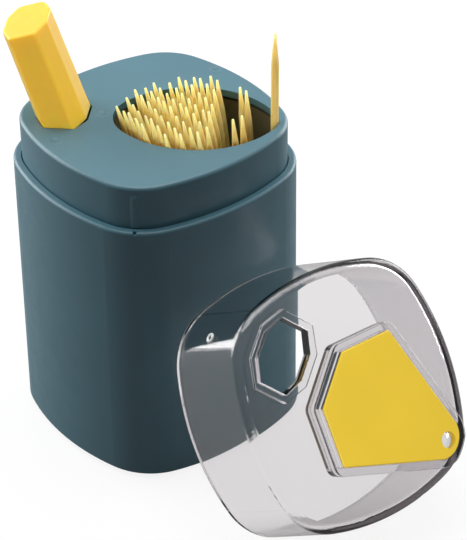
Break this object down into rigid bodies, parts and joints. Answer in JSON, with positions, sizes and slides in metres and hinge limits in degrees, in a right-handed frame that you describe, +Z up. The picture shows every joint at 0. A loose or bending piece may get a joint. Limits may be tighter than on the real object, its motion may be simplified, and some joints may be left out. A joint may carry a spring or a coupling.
{
  "type": "toothpick dispenser",
  "caption": "Rounded-square toothpick dispenser with an oval cup of toothpicks, a leaning push knob that serves one toothpick, and a clear lid leant against it",
  "frame": {"origin": "on the table under the middle of the body's outline", "axes": "+Z up; the body's corners lie on X and Y, the push knob at the -X corner and the served toothpick at the +X corner; the lid leans on the +X-Y side"},
  "size_m": [0.1278, 0.1215, 0.1239],
  "materials": {
    "shell_plastic": "moulded, satin, grey teal",
    "cup_plastic": "dark moulded inner parts",
    "knob_plastic": "moulded, satin, warm yellow",
    "clear_plastic": "clear moulded polystyrene",
    "inner_plastic": "natural acetal, off-white",
    "toothpick_wood": "turned birch, unvarnished",
    "pad_rubber": "foam pad",
    "steel": "plated steel"
  },
  "bodies": {
    "body": {"outer_shell": "shell_plastic", "neck_top": "shell_plastic", "toothpick_cup": "cup_plastic", "cup_screws": "steel", "base_plate": "cup_plastic", "base_screws": "steel", "base_pad": "pad_rubber", "pivot_pin": "steel", "pivot_clips": "steel", "toothpicks_back": "toothpick_wood", "toothpicks_front": "toothpick_wood", "toothpicks_left": "toothpick_wood", "toothpicks_middle": "toothpick_wood", "toothpicks_right_back": "toothpick_wood", "toothpicks_right_front": "toothpick_wood"},
    "plunger": {"plunger": "inner_plastic", "knob_pin": "steel"},
    "knob": {"push_knob": "knob_plastic"},
    "lever": {"rocker_lever": "inner_plastic"},
    "lifter": {"lifter": "inner_plastic"},
    "served_toothpick": {"raised_toothpick": "toothpick_wood"},
    "lid": {"clear_lid": "clear_plastic", "lid_cover_plate": "knob_plastic"}
  },
  "joints": [
    {"name": "plunger_slide", "type": "slide", "parent": "body", "child": "plunger", "axis": [0, 0, 1], "range_m": [0, 0.01155]},
    {"name": "knob_lean", "type": "hinge", "parent": "plunger", "child": "knob", "pos_m": [-0.024, 0, 0.0927], "axis": [0, 1, 0], "range_deg": [0, 17]},
    {"name": "lever_rock", "type": "hinge", "parent": "body", "child": "lever", "pos_m": [-0.005, 0, 0.0171], "axis": [0, 1, 0], "range_deg": [0, 35.41]},
    {"name": "lifter_slide", "type": "slide", "parent": "body", "child": "lifter", "axis": [0, 0, 1], "range_m": [-0.02312, 0]},
    {"name": "toothpick_out", "type": "slide", "parent": "lifter", "child": "served_toothpick", "axis": [0, 0, 1], "range_m": [0, 0.04]},
    {"name": "lid_off", "type": "slide", "parent": "body", "child": "lid", "axis": [0.5848, -0.5848, 0.5621], "range_m": [0, 0.1]}
  ],
  "couplings": [
    {"joint": "lever_rock", "follows": "plunger_slide", "rad_per_m": 53.478},
    {"joint": "lifter_slide", "follows": "plunger_slide", "ratio": -2}
  ]
}
